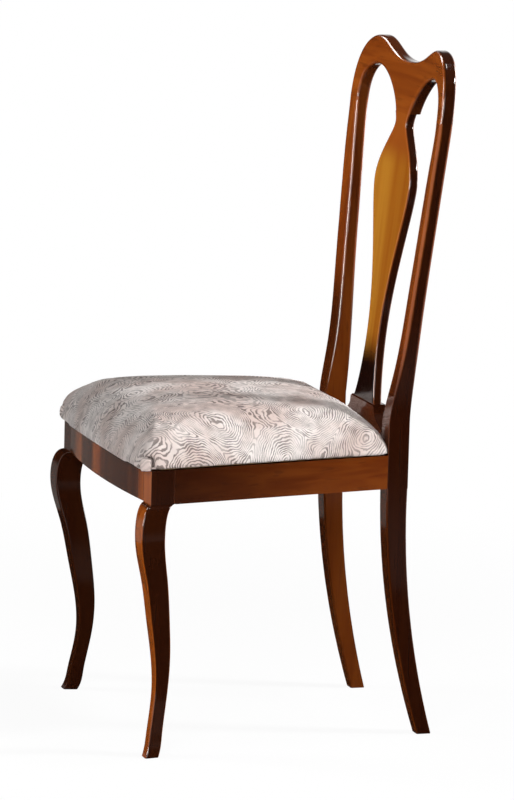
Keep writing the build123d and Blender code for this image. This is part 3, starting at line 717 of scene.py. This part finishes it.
size = COVER_HIGH - COVER_LOW
middle = (COVER_HIGH + COVER_LOW) / 2
bpy.ops.object.select_all(action="DESELECT")
bpy.ops.mesh.primitive_grid_add(x_subdivisions=32, y_subdivisions=28, size=1.0)
dust_cover = bpy.context.object
dust_cover.name = dust_cover.data.name = "dust_cloth"
grid = points_of(dust_cover) * np.array([0.97 * size.x, 0.95 * size.y, 1.0])
set_points(dust_cover, taper_to_seat(grid + np.array([middle.x, middle.y, COVER_LOW.z + COVER_LIFT])))
apply_modifier(dust_cover, "SOLIDIFY", thickness=COVER_THICKNESS, offset=1.0)


def black_cloth():
    finish = Finish("black_cloth", Roughness=0.9)
    fibres = finish.noise(finish.place(), 700.0, 3.0)
    tint = finish.mix(fibres, colour(20, 20, 21), colour(44, 43, 44))
    return finish.show(Base_Color=tint, Normal=finish.bump(fibres, 0.3, 0.0005))


dust_cover.data.materials.append(black_cloth())
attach(dust_cover, "root")
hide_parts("dust_cover")

# %% [markdown]
# ## The studio
# A white floor that also glows by itself for the camera gives the white background and keeps the chair's
# soft shadow. A backdrop could be curved up behind the chair, but a large floor under a white sky looks the
# same.

# %% The floor
FLOOR_SIZE = 80.0
FLOOR_WHITE = (0.85, 0.85, 0.85, 1.0)
SHADOW_REACH = 0.7         # metres around the chair where the floor's shadow is kept whole
WHITE_REACH = 1.8          # and where the floor is plain white
NEAR_SHARE = 0.92          # how much the floor glows by itself near the chair


def ray_kinds(finish):
    """1 for rays from the camera, for those that gloss sends on and for those that go through glass."""
    kinds = ("Is Camera Ray", "Is Glossy Ray", "Is Transmission Ray")
    return [finish.node("ShaderNodeLightPath", output=kind) for kind in kinds]


def studio_floor():
    finish = Finish("studio_white", Base_Color=FLOOR_WHITE, Roughness=1.0, Specular_IOR_Level=0.0)
    away = finish.node("ShaderNodeVectorMath", {"operation": "LENGTH"}, {0: finish.place()}, output="Value")
    share = NEAR_SHARE + away.step(SHADOW_REACH, WHITE_REACH) * (1 - NEAR_SHARE)
    glow = finish.node("ShaderNodeEmission", inputs={"Color": (1.0, 1.0, 1.0, 1.0), "Strength": 1.0})
    matt = Socket(finish, finish.shader.outputs[0])
    camera_ray, glossy_ray, clear_ray = ray_kinds(finish)
    seen = camera_ray + glossy_ray + clear_ray
    both = finish.node("ShaderNodeMixShader", inputs={0: seen * share, 1: matt, 2: glow})
    finish.feed(finish.tree.nodes["Material Output"].inputs["Surface"], both)
    return finish.material


bpy.ops.object.select_all(action="DESELECT")
bpy.ops.mesh.primitive_plane_add(size=FLOOR_SIZE)
floor = bpy.context.object
floor.name = floor.data.name = "studio_floor"
floor.data.materials.append(studio_floor())
print(floor.name, FLOOR_SIZE, "metres wide")

# %% [markdown]
# ## Lights for cloth, lights for lacquer
# The key light stands behind the chair, so the stile casts a shadow along the seat. A wide softbox at the
# chair's left lights that side, and one above the seat and one in front fill in. Cloth needs little light,
# but a bright line along a lacquered edge needs a lamp that is far brighter than white. Three strips
# therefore shine on gloss alone: they draw the lines along the rounded edges and leave the colours as they
# are. Cards around the chair, grey near the floor and dark above, give its flat faces something quiet to
# mirror, as in a photo studio. The camera sees neither lamps nor cards, and two of the lamps leave out one
# piece each that would get too bright.

# %% Lamps that stand around the chair
def around(azimuth, distance, height):
    """A place around the chair. Azimuth 0 is in front of it, 90 at its left."""
    turn = radians(azimuth)
    return Vector((distance * sin(turn), -distance * cos(turn), height))


def softbox(name, place, aim, width, length, power):
    turn = (place - aim).to_track_quat("Z", "Y").to_euler()
    bpy.ops.object.light_add(type="AREA", location=place, rotation=turn)
    lamp = bpy.context.object
    lamp.name = lamp.data.name = name
    lamp.data.shape = "RECTANGLE"
    lamp.data.size = width
    lamp.data.size_y = length
    lamp.data.energy = power
    lamp.visible_camera = False
    return lamp


def strip(name, azimuth, distance, width, low, high, radiance):
    """An upright strip of light for gloss alone."""
    middle = (low + high) / 2
    power = pi * radiance * width * (high - low)
    place, aim = around(azimuth, distance, middle), Vector((0.0, 0.0, middle))
    lamp = softbox(name, place, aim, width, high - low, power)
    lamp.visible_diffuse = False
    return lamp


def leave_out(lamp, piece):
    """Light linking: the lamp shines on everything but one piece."""
    others = bpy.data.collections.new(lamp.name + "_leaves_out")
    others.objects.link(piece)
    others.collection_objects[0].light_linking.link_state = "EXCLUDE"
    lamp.light_linking.receiver_collection = others


# %% Softboxes and strips
BACK_MIDDLE = Vector((0.0, 0.2, 0.85))
softbox("key", around(160.0, 2.7, 2.45), TARGET, 0.35, 0.35, 86.0)
softbox("side_light", around(62.0, 2.6, 1.7), TARGET, 1.2, 1.2, 43.0)
softbox("top_light", around(170.0, 0.6, 2.9), TARGET, 0.45, 0.45, 12.0)
front_fill = softbox("front_fill", around(-18.0, 2.2, 1.8), BACK_MIDDLE, 0.8, 0.8, 36.0)
front_strip = strip("front_strip", 18.0, 3.0, 0.9, 0.8, 2.1, 34.0)
strip("rear_strip", 202.0, 3.0, 0.9, 0.5, 2.1, 12.0)
strip("far_strip", -66.0, 2.4, 0.8, 1.95, 3.2, 15.0)
leave_out(front_strip, nodes["rear_post_left"])
leave_out(front_fill, pad)

# %% Cards for the lacquer to mirror
DARK = (0.01, 0.008, 0.007, 1.0)
GREY = (0.2, 0.19, 0.18, 1.0)


def card_glow(name, low, high, foot, head):
    """A card's faint glow, in one shade below the share foot of its height and in another above head."""
    finish = Finish(name, Base_Color=(0.0, 0.0, 0.0, 1.0), Specular_IOR_Level=0.0, Emission_Strength=1.0)
    rise = finish.part(finish.place(), "Y").step(foot - 0.5, head - 0.5)
    return finish.show(Emission_Color=finish.mix(rise, low, high))


def mirror_card(name, place, width, height, turn, glow):
    bpy.ops.mesh.primitive_plane_add(size=1.0, location=place, rotation=turn)
    card = bpy.context.object
    card.name = card.data.name = name
    card.scale = (width, height, 1.0)
    card.data.materials.append(glow)
    card.visible_camera = card.visible_diffuse = card.visible_shadow = False
    print(name, width, "by", height, "metres")


def standing_card(name, azimuth, distance, width, height, glow):
    place, upright = around(azimuth, distance, height / 2), (pi / 2, 0.0, radians(azimuth))
    mirror_card(name, place, width, height, upright, glow)


standing_card("side_card", 108.0, 1.3, 2.6, 2.0, card_glow("side_card_glow", GREY, DARK, 0.03, 0.12))
standing_card("far_card", -72.0, 1.2, 1.6, 1.4, card_glow("far_card_glow", GREY, DARK, 0.19, 0.25))
floor_glow = card_glow("floor_glow", DARK, DARK, 0.0, 1.0)
mirror_card("floor_card", Vector((0.0, 0.0, 0.001)), 3.0, 3.0, (0.0, 0.0, 0.0), floor_glow)

# %% [markdown]
# ## The air around
# The world gives a little even light. The camera sees it white, and gloss does too near the horizon, while
# high up it stays dark for gloss, so that the top of the back mirrors the lamps and not a white sky. A
# picture of a real studio could surround the chair instead, but a formula needs no file.

# %% The world
AIR = 0.06
SKY_LOW, SKY_HIGH = 0.2, 0.5


class Air(Finish):
    """The world's node tree, reckoned with in the same way as a finish."""

    def __init__(self, name):
        self.material = bpy.data.worlds.new(name)
        self.material.use_nodes = True
        self.tree = self.material.node_tree
        self.shader = self.tree.nodes["Background"]


def studio_air():
    air = Air("studio_air")
    upward = air.part(air.node("ShaderNodeTexCoord", output="Generated"), "Z")
    camera_ray, glossy_ray, clear_ray = ray_kinds(air)
    seen = camera_ray + (glossy_ray + clear_ray) * (1 - upward.step(SKY_LOW, SKY_HIGH))
    return air.show(Color=(1.0, 1.0, 1.0, 1.0), Strength=AIR + seen * (1 - AIR))


scene.world = studio_air()
scene.view_settings.view_transform = "Standard"
print("world", scene.world.name)
